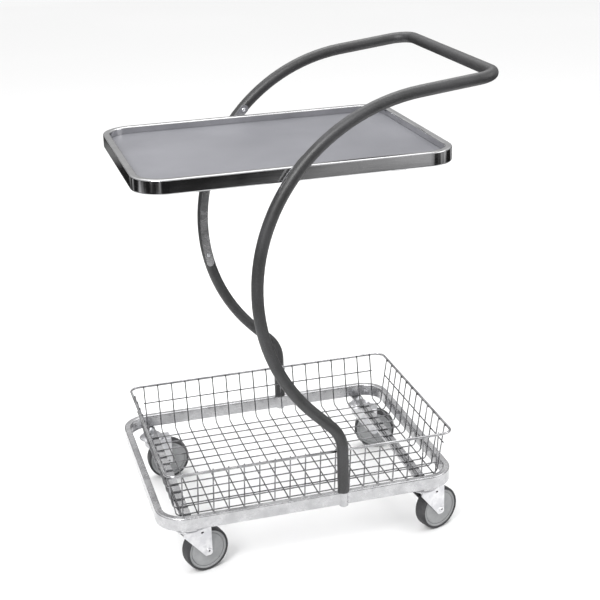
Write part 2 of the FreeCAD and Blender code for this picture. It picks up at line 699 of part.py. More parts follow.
def basketAcross():
    # half sizes of the basket: middle of the rim wire, wall wires at the rim and at their foot
    result = {}
    rim = value("Sizes.rimDiameter / 2")
    inside = value("Sizes.rimDiameter / 2 + Sizes.wireDiameter / 2 - Sizes.weldSink")
    lean = value("Sizes.basketTaper / Sizes.basketDepth")
    for axis, alias in (("x", "Derived.basketLength"), ("y", "Derived.basketWidth")):
        middle = value(alias) / 2 - rim
        top = middle - inside + lean * rim
        result[axis] = (middle, top, top - value("Sizes.basketTaper"))
    return result


def wirePositions(halfSpan, countCell):
    count = round(value(countCell))
    step = 2 * halfSpan / (count - 1)
    return [-halfSpan + step * index for index in range(count)]


def wallWire(top, foot, topZ, floorZ, toPoint):
    # one wall part of a bent mesh wire: up from the end of the floor run, round the fold
    fold = value("Sizes.basketFold")
    points = [toPoint(foot - 2 * fold, floorZ), toPoint(foot, floorZ), toPoint(top, topZ)]
    whole = roundedPath(points, [0, fold, 0])
    return rod(Part.Wire(whole.Edges[1:]), value("Sizes.wireDiameter / 2"))


def foldReach(top, foot, topZ, floorZ):
    # length of the floor run that the fold takes up
    turn = math.atan2(topZ - floorZ, top - foot)
    return value("Sizes.basketFold") * math.tan(turn / 2)


def wallAt(z, top, foot, topZ, floorZ):
    # how far out the leaning wall is at a height
    return foot + (top - foot) * (z - floorZ) / (topZ - floorZ)


def makeBasket():
    spans = basketAcross()
    shift = value("Sizes.basketShift")
    rimZ = value("Derived.rimZ")
    radius = value("Sizes.wireDiameter / 2")
    corner = value("Sizes.basketCorner - Sizes.rimDiameter / 2")
    rimX = spans["x"][0]
    rimY = spans["y"][0]
    loop = [Vector(shift + rimX, rimY, rimZ), Vector(shift - rimX, rimY, rimZ),
            Vector(shift - rimX, -rimY, rimZ), Vector(shift + rimX, -rimY, rimZ)]
    feature("basket_rim", rod(roundedPath(loop, [corner] * 4, True), value("Sizes.rimDiameter / 2")))

    topX, footX = spans["x"][1:]
    topY, footY = spans["y"][1:]
    longZ = value("Derived.longWireZ")
    crossZ = value("Derived.crossWireZ")
    crossSpan = footX - value("Sizes.crossWireMargin")
    longSpan = footY - value("Sizes.longWireMargin")
    crossPlaces = [shift + x for x in wirePositions(crossSpan, "Sizes.crossWireCount")]
    sideways = value("Sizes.longWireShift")
    longPlaces = [sideways + y for y in wirePositions(longSpan, "Sizes.longWireCount")]
    wallTop = rimZ + value("Sizes.rimDiameter / 2")

    runX = footX - foldReach(topX, footX, wallTop, longZ)
    runY = footY - foldReach(topY, footY, wallTop, crossZ)
    floor = [Part.makeCylinder(radius, 2 * runX, Vector(shift - runX, y, longZ), Vector(1, 0, 0))
             for y in longPlaces]
    feature("basket_floor_long_wires", Part.makeCompound(floor))
    floor = [Part.makeCylinder(radius, 2 * runY, Vector(x, -runY, crossZ), Vector(0, 1, 0))
             for x in crossPlaces]
    feature("basket_floor_cross_wires", Part.makeCompound(floor))

    # the wire along each wall lies on the outside of the upright ones
    outward = value("Sizes.wireDiameter - Sizes.weldSink")
    over = value("Sizes.wireOverhang")
    for side, sign, drop in (("left", -1, "Sizes.leftWireDrop"), ("right", 1, "Sizes.sideWireDrop")):
        wires = [wallWire(topY, footY, wallTop, crossZ, lambda y, z: Vector(x, sign * y, z))
                 for x in crossPlaces]
        sideZ = rimZ - value(drop)
        y = sign * (wallAt(sideZ, topY, footY, wallTop, crossZ) + outward)
        start = Vector(crossPlaces[0] - over, y, sideZ)
        length = crossPlaces[-1] - crossPlaces[0] + 2 * over
        wires.append(Part.makeCylinder(radius, length, start, Vector(1, 0, 0)))
        feature("basket_wall_" + side, Part.makeCompound(wires))
    for end, sign in (("front", -1), ("rear", 1)):
        wires = [wallWire(topX, footX, wallTop, longZ, lambda x, z: Vector(shift + sign * x, y, z))
                 for y in longPlaces]
        sideZ = rimZ - value("Sizes.sideWireDrop")
        x = shift + sign * (wallAt(sideZ, topX, footX, wallTop, longZ) + outward)
        start = Vector(x, longPlaces[0] - over, sideZ)
        length = longPlaces[-1] - longPlaces[0] + 2 * over
        wires.append(Part.makeCylinder(radius, length, start, Vector(0, 1, 0)))
        feature("basket_wall_" + end, Part.makeCompound(wires))


# ---- castors

def makeFork(name):
    body = newBody(name + "_body")
    side = newSketch(body, name + "_side", "XZ_Plane")
    front = "(Sizes.castorTrail + Sizes.forkNose)"
    addPolygon(side, [
        ("-1 * Sizes.forkTail", "Derived.forkTop"), (front, "Derived.forkTop"),
        (front, "Derived.axleZ - Sizes.forkNose"),
        ("Sizes.castorTrail + 2", "Derived.axleZ - Sizes.forkToe"),
        ("Sizes.castorTrail - Sizes.forkNose", "Derived.axleZ - Sizes.forkToe"),
        ("-1 * Sizes.forkTail", "Derived.forkTop - Sizes.forkBack")])
    pad(body, side, "Derived.forkOutside", True)
    doc.recompute()
    low = value("Derived.axleZ")
    roundEdges(body, "Sizes.toeRound", lambda edge: edge.BoundBox.ZMax < low and edge.BoundBox.YLength > 10)
    doc.recompute()
    outside = value("Derived.forkOutside") / 2
    top = value("Derived.forkTop")
    roundEdges(body, "Sizes.forkSteel", lambda edge: abs(edge.BoundBox.ZMin - top) < 0.01 and
               abs(abs(edge.CenterOfMass.y) - outside) < 0.01)
    doc.recompute()
    inside = newSketch(body, name + "_inside", "YZ_Plane")
    ceiling = "Derived.forkTop - Sizes.forkSteel"
    addPolygon(inside, [("Derived.forkInside / -2", ceiling), ("Derived.forkInside / -2", "-1"),
                        ("Derived.forkInside / 2", "-1"), ("Derived.forkInside / 2", ceiling)])
    pocketThrough(body, inside)
    holes = newSketch(body, name + "_axle_hole", "XZ_Plane")
    addCircle(holes, "Sizes.castorTrail", "Derived.axleZ", "Sizes.axleDiameter / 2")
    pocketThrough(body, holes)
    slot = newSketch(body, name + "_slot", "XZ_Plane")
    addRoundedRectangle(slot, "Sizes.forkSlot * 1.8", "Sizes.forkSlot", "Sizes.forkSlot * 0.49",
                        "Sizes.castorTrail / 2 + 5", "Derived.forkTop - 10")
    pocketThrough(body, slot)
    hole = newSketch(body, name + "_stem_hole", "XY_Plane")
    addCircle(hole, "0", "0", "Sizes.stemDiameter / 2 + Sizes.runningGap")
    pocketThrough(body, hole)
    return body


def makeAxle(name):
    # a tubular rivet: a flange on each leg and a hole right through
    half = "(Derived.forkOutside / 2)"
    radius = "Sizes.axleDiameter / 2"
    bore = "Sizes.axleBore / 2"
    flange = "(Sizes.axleDiameter / 2 + Sizes.flangeReach)"
    edge = flange + " - Sizes.flangeHeight / 2"
    end = "(%s + Sizes.flangeHeight)" % half
    return turned(name + "_body", "XY_Plane", [
        (bore, "-1 * " + end), (edge, "-1 * " + end), (flange, "-1 * " + half),
        (radius, "-1 * " + half), (radius, half), (flange, half), (edge, end), (bore, end)],
        "Sizes.castorTrail", "0", "Derived.axleZ")


def makeWheel(name):
    rim = "(Sizes.wheelDiameter / 2 - Sizes.tyreThickness)"
    bore = "(Sizes.axleDiameter / 2 + Sizes.runningGap + Sizes.bushWall)"
    hub = "(Sizes.hubDiameter / 2)"
    half = "(Sizes.coreWidth / 2)"
    hubHalf = "(Sizes.hubWidth / 2)"
    side = [(bore, hubHalf), (hub + " - 2", hubHalf), (hub, half + " - 1"), (rim + " - 6.5", half + " - 1"),
            (rim + " - 6.5", half + " - 2.5"), (rim + " - 5", half + " - 2.5"), (rim + " - 5", half),
            (rim, half)]
    outline = [(x, "-1 * (%s)" % y) for x, y in side] + side[::-1]
    return turned(name + "_body", "XY_Plane", outline, "Sizes.castorTrail", "0", "Derived.axleZ")


def makeBush(name):
    inner = "(Sizes.axleDiameter / 2 + Sizes.runningGap)"
    outer = "(%s + Sizes.bushWall)" % inner
    half = "(Sizes.hubWidth / 2)"
    return turned(name + "_body", "XY_Plane", [
        (inner, "-1 * " + half), (outer, "-1 * " + half), (outer, half), (inner, half)],
        "Sizes.castorTrail", "0", "Derived.axleZ")


def makeTyre(name):
    rim = "(Sizes.wheelDiameter / 2 - Sizes.tyreThickness)"
    tread = "(Sizes.wheelDiameter / 2)"
    half = "(Sizes.wheelWidth / 2)"
    body = turned(name + "_body", "XY_Plane", [
        (rim, "-1 * " + half), (tread, "-1 * " + half), (tread, half), (rim, half)],
        "Sizes.castorTrail", "0", "Derived.axleZ")
    doc.recompute()
    size = value("Sizes.wheelDiameter")
    roundEdges(body, "Sizes.tyreEdge", lambda edge: abs(edge.BoundBox.ZLength - size) < 0.1)
    return body


def makeRace(name):
    stem = "Sizes.stemDiameter / 2"
    rim = "(Sizes.raceDiameter / 2)"
    bottom = "(Sizes.castorHeight - Sizes.raceHeight)"
    return turned(name + "_body", "XZ_Plane", [
        (stem, bottom), (rim + " - 1", bottom), (rim, bottom + " + 1"), (rim, bottom + " + 3"),
        (rim + " - 5", bottom + " + 6"), (rim + " - 8", "Sizes.castorHeight"),
        (stem, "Sizes.castorHeight")])


def castorPlaces():
    # name, swivel axis and how far the castor is turned
    places = []
    for end, along in (("front", "-1"), ("rear", "1")):
        for side, across in (("left", "-1"), ("right", "1")):
            turn = "Sizes.swivel%s%s" % (end.capitalize(), side.capitalize())
            places.append((end + "_" + side, along + " * Derived.memberX", across + " * Derived.castorY",
                           turn))
    return places


def makeCastors():
    makers = (("fork", makeFork), ("axle", makeAxle), ("wheel", makeWheel), ("bush", makeBush),
              ("tyre", makeTyre))
    for corner, x, y, turn in castorPlaces():
        for kind, maker in makers:
            name = "%s_%s" % (kind, corner)
            body = maker(name)
            place(body, x, y, "0", turn)
            keep(name, body)
        race = makeRace("swivel_race_" + corner)
        place(race, x, y)
        keep("swivel_race_" + corner, race)


def stemShape():
    # the bolt that the castor turns on: head inside the fork, shank up through the flat bar
    radius = value("Sizes.stemDiameter / 2")
    seat = Vector(0, 0, value("Derived.stemHeadTop"))
    reach = value("Sizes.castorHeight + Sizes.memberThickness + Sizes.nutHeight - 1") - seat.z
    head = value("Sizes.stemHead")
    shank = Part.makeCylinder(radius, reach, seat)
    cap = Part.makeCone(radius + 2, radius + 4, head, seat - Vector(0, 0, head))
    return shank.fuse(cap)


def nutShape():
    # a hexagon with a dome on it and a blind hole for the bolt
    flats = value("Sizes.nutFlats")
    height = value("Sizes.nutHeight")
    seat = Vector(0, 0, value("Sizes.castorHeight + Sizes.memberThickness"))
    corners = []
    for number in range(7):
        angle = math.radians(60 * number)
        corners.append(seat + Vector(math.cos(angle), math.sin(angle), 0) * (flats / math.sqrt(3)))
    hexagon = Part.Face(Part.makePolygon(corners)).extrude(Vector(0, 0, height))
    chamfer = Part.makeCone(flats / 2 + height, flats / 2 - 0.5, height + 0.5, seat)
    domeRadius = flats * 0.42
    dome = Part.makeSphere(domeRadius, seat + Vector(0, 0, height - 1))
    below = Part.makeBox(2 * flats, 2 * flats, 2 * flats, seat + Vector(-flats, -flats, 1 - 2 * flats))
    body = hexagon.common(chamfer).fuse(dome.cut(below))
    hole = Part.makeCylinder(value("Sizes.stemDiameter / 2"), height - 1, seat)
    return body.cut(hole)


def makeCastorFasteners():
    for name, shape in (("castor_stems", stemShape()), ("castor_nuts", nutShape())):
        copies = []
        for corner, x, y, turn in castorPlaces():
            copies.append(shape.translated(Vector(value(x), value(y), 0)))
        feature(name, Part.makeCompound(copies))


makeBaseFrame()
makeCrossMembers()
makeHandle()
makePegs()
makeTray()
makeBrackets()
makeBasket()
makeCastors()
makeCastorFasteners()
doc.recompute()

for item in doc.Objects:
    if "Invalid" in item.State or "Error" in item.State:
        raise RuntimeError("%s failed to recompute" % item.Name)
os.makedirs("parts", exist_ok=True)
for name, item in subparts:
    if item.Shape.isNull() or not item.Shape.isValid():
        raise RuntimeError("%s has no valid shape" % name)
    item.Shape.exportStep("parts/%s.step" % name)
print("%d sub-parts written" % len(subparts))
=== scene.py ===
import json
import math

import bmesh
import bpy
from mathutils import Matrix, Vector


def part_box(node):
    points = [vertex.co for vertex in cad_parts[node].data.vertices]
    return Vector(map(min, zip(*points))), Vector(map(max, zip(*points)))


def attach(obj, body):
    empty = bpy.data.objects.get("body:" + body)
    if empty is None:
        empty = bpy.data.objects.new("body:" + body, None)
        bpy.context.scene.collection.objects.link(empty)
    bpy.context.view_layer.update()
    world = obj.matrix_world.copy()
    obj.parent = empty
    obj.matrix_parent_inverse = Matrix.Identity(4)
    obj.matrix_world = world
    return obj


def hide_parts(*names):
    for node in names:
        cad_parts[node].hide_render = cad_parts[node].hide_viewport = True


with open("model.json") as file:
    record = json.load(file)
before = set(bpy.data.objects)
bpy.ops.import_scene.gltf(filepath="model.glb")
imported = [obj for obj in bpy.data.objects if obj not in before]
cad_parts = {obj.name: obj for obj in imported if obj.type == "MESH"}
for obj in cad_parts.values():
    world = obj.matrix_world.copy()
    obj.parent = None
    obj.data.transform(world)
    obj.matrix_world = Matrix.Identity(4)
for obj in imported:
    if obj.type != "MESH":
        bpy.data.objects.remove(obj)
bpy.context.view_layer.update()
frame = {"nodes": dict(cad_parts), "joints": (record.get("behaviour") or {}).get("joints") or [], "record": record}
joints = {joint["name"]: joint for joint in frame["joints"]}
corners = ("front_left", "front_right", "rear_left", "rear_right")
print("frame loaded")


class Field:
    # one socket of a node tree; sums on it add Math nodes to its graph
    def __init__(self, graph, socket):
        self.graph = graph
        self.socket = socket

    def combine(self, operation, first, second):
        return self.graph.add("ShaderNodeMath", {"operation": operation}, {0: first, 1: second})

    def __add__(self, other):
        return self.combine("ADD", self, other)

    def __radd__(self, other):
        return self.combine("ADD", other, self)

    def __sub__(self, other):
        return self.combine("SUBTRACT", self, other)

    def __rsub__(self, other):
        return self.combine("SUBTRACT", other, self)

    def __mul__(self, other):
        return self.combine("MULTIPLY", self, other)

    def __rmul__(self, other):
        return self.combine("MULTIPLY", other, self)


class Graph:
    def __init__(self, tree):
        self.tree = tree

    def add(self, kind, settings=None, inputs=None, output=0):
        # settings first, then the sockets' values or links
        node = self.tree.nodes.new(kind)
        for name, content in (settings or {}).items():
            if name == "stops":
                self.setStops(node.color_ramp, content)
            else:
                setattr(node, name, content)
        for key, content in (inputs or {}).items():
            if isinstance(content, Field):
                self.tree.links.new(content.socket, node.inputs[key])
            else:
                node.inputs[key].default_value = content
        return Field(self, node.outputs[output])

    def setStops(self, ramp, stops):
        while len(ramp.elements) < len(stops):
            ramp.elements.new(0.5)
        for element, (position, colour) in zip(ramp.elements, stops):
            element.position = position
            element.color = colour

    def place(self):
        return self.add("ShaderNodeTexCoord", output="Object")

    def noise(self, scale, detail=3.0, roughness=0.55, vector=None):
        inputs = {"Vector": vector or self.place(), "Scale": scale, "Detail": detail,
                  "Roughness": roughness}
        return self.add("ShaderNodeTexNoise", None, inputs, "Fac")

    def stretched(self, x, y, z):
        return self.add("ShaderNodeMapping", None, {"Vector": self.place(), "Scale": (x, y, z)})

    def ramp(self, factor, low, high, first=0.35, last=0.65):
        stops = [(first, (low, low, low, 1)), (last, (high, high, high, 1))]
        return self.add("ShaderNodeValToRGB", {"stops": stops}, {"Fac": factor})

    def mixed(self, factor, first, second):
        inputs = {0: factor, 6: (*first, 1) if isinstance(first, tuple) else first,
                  7: (*second, 1) if isinstance(second, tuple) else second}
        return self.add("ShaderNodeMix", {"data_type": "RGBA"}, inputs, 2)

    def bump(self, height, strength, distance):
        inputs = {"Height": height, "Strength": strength, "Distance": distance}
        return self.add("ShaderNodeBump", None, inputs)


def newMaterial(name, fixed):
    # a principled surface with its fixed numbers; returns the material, its graph and the shader
    material = bpy.data.materials.new(name)
    material.use_nodes = True
    shader = material.node_tree.nodes["Principled BSDF"]
    for socket, content in fixed.items():
        shader.inputs[socket].default_value = content
    return material, Graph(material.node_tree), shader


def feed(graph, shader, **fields):
    for name, field in fields.items():
        socket = {"colour": "Base Color", "rough": "Roughness", "normal": "Normal"}[name]
        graph.tree.links.new(field.socket, shader.inputs[socket])


def platedSteel(name, look):
    # bright plating: cloudy tint, soft scratches and a roughness that wanders
    material, graph, shader = newMaterial(name, {"Metallic": 1.0, "Specular IOR Level": 0.5})
    clouds = graph.noise(look["cloudScale"], 4.0, 0.6)
    spots = graph.noise(look["spotScale"], 2.0, 0.5)
    tint = graph.mixed(graph.ramp(clouds, 0.0, 1.0, 0.38, 0.62), look["dark"], look["light"])
    worn = graph.mixed(graph.ramp(spots, 0.0, look["spotDepth"], 0.60, 0.70), tint, look["stain"])
    grain = graph.noise(1.0, 2.0, 0.5, graph.stretched(*look["grain"]))
    rough = look["rough"] + (clouds - 0.5) * look["roughSwing"] + (grain - 0.5) * look["grainRough"]
    height = grain * 0.6 + clouds * 0.4
    feed(graph, shader, colour=worn, rough=rough,
         normal=graph.bump(height, look["bump"], 0.0004))
    return material


def coatedSteel(name, look):
    # powder coat: fine orange-peel grain with paler rubbed patches
    material, graph, shader = newMaterial(name, {"Metallic": 0.0, "Specular IOR Level": 0.6})
    grain = graph.noise(look["grainScale"], 2.0, 0.6)
    peel = graph.noise(look["peelScale"], 2.0, 0.5)
    patches = graph.noise(look["patchScale"], 3.0, 0.6)
    base = graph.mixed(graph.ramp(patches, 0.0, 1.0, 0.35, 0.7), look["dark"], look["light"])
    speckled = graph.mixed(graph.ramp(grain, 0.0, look["speckle"], 0.55, 0.75), base, look["fleck"])
    rough = (look["rough"] + (patches - 0.5) * look["patchRough"]
             + (grain - 0.5) * look["grainRough"])
    feed(graph, shader, colour=speckled, rough=rough,
         normal=graph.bump(grain * 0.6 + peel * 0.4, look["bump"], 0.0006))
    return material


def pebbledBoard(name, look):
    # laminate: shallow pebbles with painted shade in their hollows, a faint streak along the board and fine scuffs
    material, graph, shader = newMaterial(name, {"Metallic": 0.0, "Specular IOR Level": 0.45})
    pebbles = graph.add("ShaderNodeTexVoronoi", {"feature": "SMOOTH_F1"},
                        {"Vector": graph.place(), "Scale": look["pebbleScale"]}, "Distance")
    fine = graph.noise(look["pebbleScale"] * 2.6, 2.0, 0.5)
    clouds = graph.noise(look["cloudScale"], 3.0, 0.6)
    scuffs = graph.noise(1.0, 4.0, 0.7, graph.stretched(*look["streak"]))
    tint = graph.mixed(graph.ramp(clouds, 0.0, 1.0, 0.3, 0.7), look["dark"], look["light"])
    scuffed = graph.mixed(graph.ramp(scuffs, 0.0, 0.14, 0.6, 0.8), tint, look["scuff"])
    # painted shade: the pebble hollows are darkened, following the pebbles that shape the bump
    hollowShaded = graph.mixed(graph.ramp(pebbles, 0.16, 0.0, 0.1, 0.5), scuffed, look["pitShade"])
    rough = look["rough"] + (clouds - 0.5) * look["cloudRough"] + (fine - 0.5) * look["fineRough"]
    feed(graph, shader, colour=hollowShaded, rough=rough,
         normal=graph.bump(pebbles * 0.7 + fine * 0.3, look["bump"], 0.0003))
    return material


def mouldedPlastic(name, look):
    # fine spark-eroded grain, a little dust in the hollows
    fixed = {"Metallic": 0.0, "Specular IOR Level": look["shine"]}
    material, graph, shader = newMaterial(name, fixed)
    grain = graph.noise(look["grainScale"], 2.0, 0.5)
    dust = graph.noise(look["dustScale"], 4.0, 0.65)
    tint = graph.mixed(graph.ramp(dust, 0.0, 1.0, 0.35, 0.7), look["dark"], look["light"])
    rough = look["rough"] + (grain - 0.5) * look["grainRough"] + (dust - 0.5) * look["dustRough"]
    feed(graph, shader, colour=tint, rough=rough, normal=graph.bump(grain, look["bump"], 0.0003))
    return material


zincLook = {"dark": (0.44, 0.44, 0.45), "light": (0.56, 0.56, 0.57), "stain": (0.34, 0.34, 0.36),
            "cloudScale": 34.0, "spotScale": 60.0, "spotDepth": 0.35, "grain": (30.0, 30.0, 400.0),
            "rough": 0.26, "roughSwing": 0.20, "grainRough": 0.10, "bump": 0.2}
chromeLook = {"dark": (0.56, 0.56, 0.57), "light": (0.66, 0.66, 0.67), "stain": (0.44, 0.44, 0.46),
              "cloudScale": 12.0, "spotScale": 45.0, "spotDepth": 0.25, "grain": (20.0, 20.0, 260.0),
              "rough": 0.09, "roughSwing": 0.08, "grainRough": 0.05, "bump": 0.05}
wireLook = {"dark": (0.15, 0.15, 0.155), "light": (0.31, 0.31, 0.32), "stain": (0.09, 0.09, 0.09),
            "cloudScale": 60.0, "spotScale": 90.0, "spotDepth": 0.5, "grain": (120.0, 120.0, 120.0),
            "rough": 0.20, "roughSwing": 0.16, "grainRough": 0.08, "bump": 0.12}
# rim: a lighter copy of the basket wire steel; the extra lightness is painted highlight
rimHighlightLook = {"dark": (0.34, 0.34, 0.35), "light": (0.56, 0.56, 0.57), "stain": (0.18, 0.18, 0.19),
           "cloudScale": 30.0, "spotScale": 80.0, "spotDepth": 0.5, "grain": (90.0, 90.0, 90.0),
           "rough": 0.15, "roughSwing": 0.10, "grainRough": 0.06, "bump": 0.1}
castorLook = {"dark": (0.60, 0.60, 0.62), "light": (0.76, 0.76, 0.77), "stain": (0.44, 0.44, 0.46),
              "cloudScale": 45.0, "spotScale": 120.0, "spotDepth": 0.3, "grain": (90.0, 90.0, 500.0),
              "rough": 0.38, "roughSwing": 0.16, "grainRough": 0.12, "bump": 0.2}
fastenerLook = {"dark": (0.55, 0.56, 0.58), "light": (0.76, 0.77, 0.79), "stain": (0.40, 0.40, 0.42),
                "cloudScale": 160.0, "spotScale": 400.0, "spotDepth": 0.5,
                "grain": (300.0, 300.0, 300.0), "rough": 0.30, "roughSwing": 0.14,
                "grainRough": 0.10, "bump": 0.2}
weldLook = {"dark": (0.42, 0.41, 0.40), "light": (0.80, 0.80, 0.80), "stain": (0.25, 0.23, 0.22),
            "cloudScale": 300.0, "spotScale": 500.0, "spotDepth": 0.6, "grain": (500.0, 500.0, 500.0),
            "rough": 0.36, "roughSwing": 0.2, "grainRough": 0.15, "bump": 0.4}
coatLook = {"dark": (0.018, 0.018, 0.018), "light": (0.032, 0.032, 0.034),
            "fleck": (0.13, 0.13, 0.133), "speckle": 0.6, "grainScale": 850.0, "peelScale": 380.0,
            "patchScale": 14.0, "rough": 0.40, "patchRough": 0.16, "grainRough": 0.12, "bump": 0.8}
# board: the darker pit colour is painted shade in the pebble hollows
boardLook = {"dark": (0.150, 0.151, 0.168), "light": (0.186, 0.187, 0.206),
             "scuff": (0.29, 0.29, 0.31), "pitShade": (0.11, 0.11, 0.12), "pebbleScale": 620.0,
             "cloudScale": 5.0, "streak": (9.0, 160.0, 9.0), "rough": 0.42, "cloudRough": 0.12,
             "fineRough": 0.14, "bump": 0.35}
discLook = {"dark": (0.26, 0.265, 0.27), "light": (0.34, 0.345, 0.35), "grainScale": 1500.0,
            "dustScale": 30.0, "rough": 0.5, "grainRough": 0.2, "dustRough": 0.15, "bump": 0.3,
            "shine": 0.45}
treadLook = {"dark": (0.028, 0.028, 0.030), "light": (0.060, 0.060, 0.062), "grainScale": 900.0,
             "dustScale": 30.0, "rough": 0.62, "grainRough": 0.2, "dustRough": 0.15, "bump": 0.45,
             "shine": 0.35}

zinc = platedSteel("zincPlate", zincLook)
chrome = platedSteel("polishedPlate", chromeLook)
wireSteel = platedSteel("basketWireSteel", wireLook)
# the rim's steel is painted lighter than the wires' to stand for its highlights (painted highlight)
rimHighlightSteel = platedSteel("basketRimSteelPaintedHighlight", rimHighlightLook)
castorSteel = platedSteel("castorSteel", castorLook)
fastenerSteel = platedSteel("fastenerSteel", fastenerLook)
weldMetal = platedSteel("weldMetal", weldLook)
charcoal = coatedSteel("charcoalCoat", coatLook)
board = pebbledBoard("greyBoard", boardLook)
discPlastic = mouldedPlastic("wheelPlastic", discLook)
treadRubber = mouldedPlastic("treadRubber", treadLook)
materialOfSlot = {"zinc": zinc, "charcoal_coat": charcoal, "chrome": chrome,
                  "fastener_steel": fastenerSteel, "grey_board": board, "basket_wire": wireSteel,
                  "castor_steel": castorSteel, "wheel_plastic": discPlastic,
                  "tyre_rubber": treadRubber}
for part in frame["record"]["subparts"]:
    node = frame["nodes"][part["node"]]
    for slot in node.material_slots:
        slot.material = materialOfSlot[part["material_slot"]]
print("materials made")


def newTree(name, inputs):
    tree = bpy.data.node_groups.new(name, "GeometryNodeTree")
    kinds = {"Geometry": "NodeSocketGeometry", "Material": "NodeSocketMaterial",
             "Object": "NodeSocketObject", "Vector": "NodeSocketVector", "Int": "NodeSocketInt",
             "Float": "NodeSocketFloat"}
    tree.interface.new_socket(name="Geometry", in_out="OUTPUT", socket_type="NodeSocketGeometry")
    for label, kind in inputs:
        tree.interface.new_socket(name=label, in_out="INPUT", socket_type=kinds[kind])
    graph = Graph(tree)
    source = tree.nodes.new("NodeGroupInput")
    fields = {label: Field(graph, source.outputs[label]) for label, kind in inputs}
    return tree, graph, fields


def endTree(graph, geometry, material):
    # every tree ends as one real mesh with its material set
    real = graph.add("GeometryNodeRealizeInstances", None, {"Geometry": geometry})
    smooth = graph.add("GeometryNodeSetShadeSmooth", None, {"Geometry": real})
    finished = graph.add("GeometryNodeSetMaterial", None, {"Geometry": smooth, "Material": material})
    sink = graph.tree.nodes.new("NodeGroupOutput")
    graph.tree.links.new(finished.socket, sink.inputs["Geometry"])


def finish(piece, body, slot, *nodes):
    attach(piece, body)
    if nodes:
        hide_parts(*nodes)
    return piece


def newPiece(name, mesh):
    piece = bpy.data.objects.new(name, mesh)
    bpy.context.scene.collection.objects.link(piece)
    return piece


def meshFrom(name, points, edges=(), faces=()):
    mesh = bpy.data.meshes.new(name)
    mesh.from_pydata(points, edges, faces)
    return mesh


def runTree(name, tree, mesh, values):
    # runs a tree on a mesh and keeps only the plain mesh that comes out
    source = newPiece(name + "Source", mesh)
    modifier = source.modifiers.new("shape", "NODES")
    modifier.node_group = tree
    for item in tree.interface.items_tree:
        if item.in_out == "INPUT" and item.name in values:
            modifier[item.identifier] = values[item.name]
    bpy.context.view_layer.update()
    seen = bpy.context.evaluated_depsgraph_get()
    result = bpy.data.meshes.new_from_object(source.evaluated_get(seen))
    source.modifiers.remove(modifier)
    bpy.data.objects.remove(source)
    result.materials.clear()  # drops the empty slot of the source mesh
    result.materials.append(values["Material"])
    result.polygons.foreach_set("material_index", [0] * len(result.polygons))
    return result


def joinMeshes(name, meshes):
    joined = bmesh.new()
    materials = []
    for mesh in meshes:
        before = len(joined.faces)
        joined.from_mesh(mesh)
        joined.faces.ensure_lookup_table()
        if mesh.materials[0] not in materials:
            materials.append(mesh.materials[0])
        index = materials.index(mesh.materials[0])
        for face in joined.faces[before:]:
            face.material_index = index
    result = bpy.data.meshes.new(name)
    joined.to_mesh(result)
    joined.free()
    for material in materials:
        result.materials.append(material)
    return result


basket = {"crossWires": 18, "longWires": 12, "fold": 0.009, "rimCorner": 0.023, "sideWireDrop": 0.041,
          "leftWireDrop": 0.074, "weldSink": 0.0002, "overhang": 0.004, "nugget": 0.0021,
          "nuggetSeed": 7, "foldSteps": 7, "wireSides": 12}


def makeWireTree():
    # a bent wire: the path's corners rounded, swept with a round section and repeated in a row
    tree, graph, given = newTree("bentWires", (
        ("Geometry", "Geometry"), ("Radius", "Float"), ("Fold", "Float"), ("Copies", "Int"),
        ("Step", "Vector"), ("Material", "Material")))
    path = graph.add("GeometryNodeMeshToCurve", None, {"Mesh": given["Geometry"]})
    bent = graph.add("GeometryNodeFilletCurve", {"mode": "POLY"},
                     {"Curve": path, "Count": basket["foldSteps"], "Radius": given["Fold"],
                      "Limit Radius": True})
    section = graph.add("GeometryNodeCurvePrimitiveCircle", None,
                        {"Resolution": basket["wireSides"], "Radius": given["Radius"]})
    wire = graph.add("GeometryNodeCurveToMesh", None,
                     {"Curve": bent, "Profile Curve": section, "Fill Caps": True})
    row = graph.add("GeometryNodeMeshLine", None, {"Count": given["Copies"], "Offset": given["Step"]})
    wires = graph.add("GeometryNodeInstanceOnPoints", None, {"Points": row, "Instance": wire})
    endTree(graph, wires, given["Material"])
    return tree


def makeNuggetTree():
    # the small swelling where two wires are welded, on a grid of crossings
    tree, graph, given = newTree("weldNuggets", (
        ("Geometry", "Geometry"), ("Radius", "Float"), ("Seed", "Int"), ("Material", "Material")))
    ball = graph.add("GeometryNodeMeshIcoSphere", None, {"Radius": given["Radius"], "Subdivisions": 2})
    size = graph.add("FunctionNodeRandomValue", {"data_type": "FLOAT"},
                     {2: 0.85, 3: 1.15, "Seed": given["Seed"]}, 1)
    swellings = graph.add("GeometryNodeInstanceOnPoints", None,
                          {"Points": given["Geometry"], "Instance": ball, "Scale": size})
    endTree(graph, swellings, given["Material"])
    return tree


def makeBeadTree():
    # a weld bead: overlapping ripples along a path, each a little different
    tree, graph, given = newTree("weldBead", (
        ("Geometry", "Geometry"), ("Radius", "Float"), ("Pitch", "Float"), ("Seed", "Int"),
        ("Material", "Material")))
    path = graph.add("GeometryNodeMeshToCurve", None, {"Mesh": given["Geometry"]})
    spaced = graph.add("GeometryNodeResampleCurve", {"mode": "LENGTH"},
                       {"Curve": path, "Length": given["Pitch"]})
    ripple = graph.add("GeometryNodeMeshIcoSphere", None,
                       {"Radius": given["Radius"], "Subdivisions": 2})
    size = graph.add("FunctionNodeRandomValue", {"data_type": "FLOAT"},
                     {2: 0.8, 3: 1.1, "Seed": given["Seed"]}, 1)
    beads = graph.add("GeometryNodeInstanceOnPoints", None,
                      {"Points": spaced, "Instance": ripple, "Scale": size})
    endTree(graph, beads, given["Material"])
    return tree


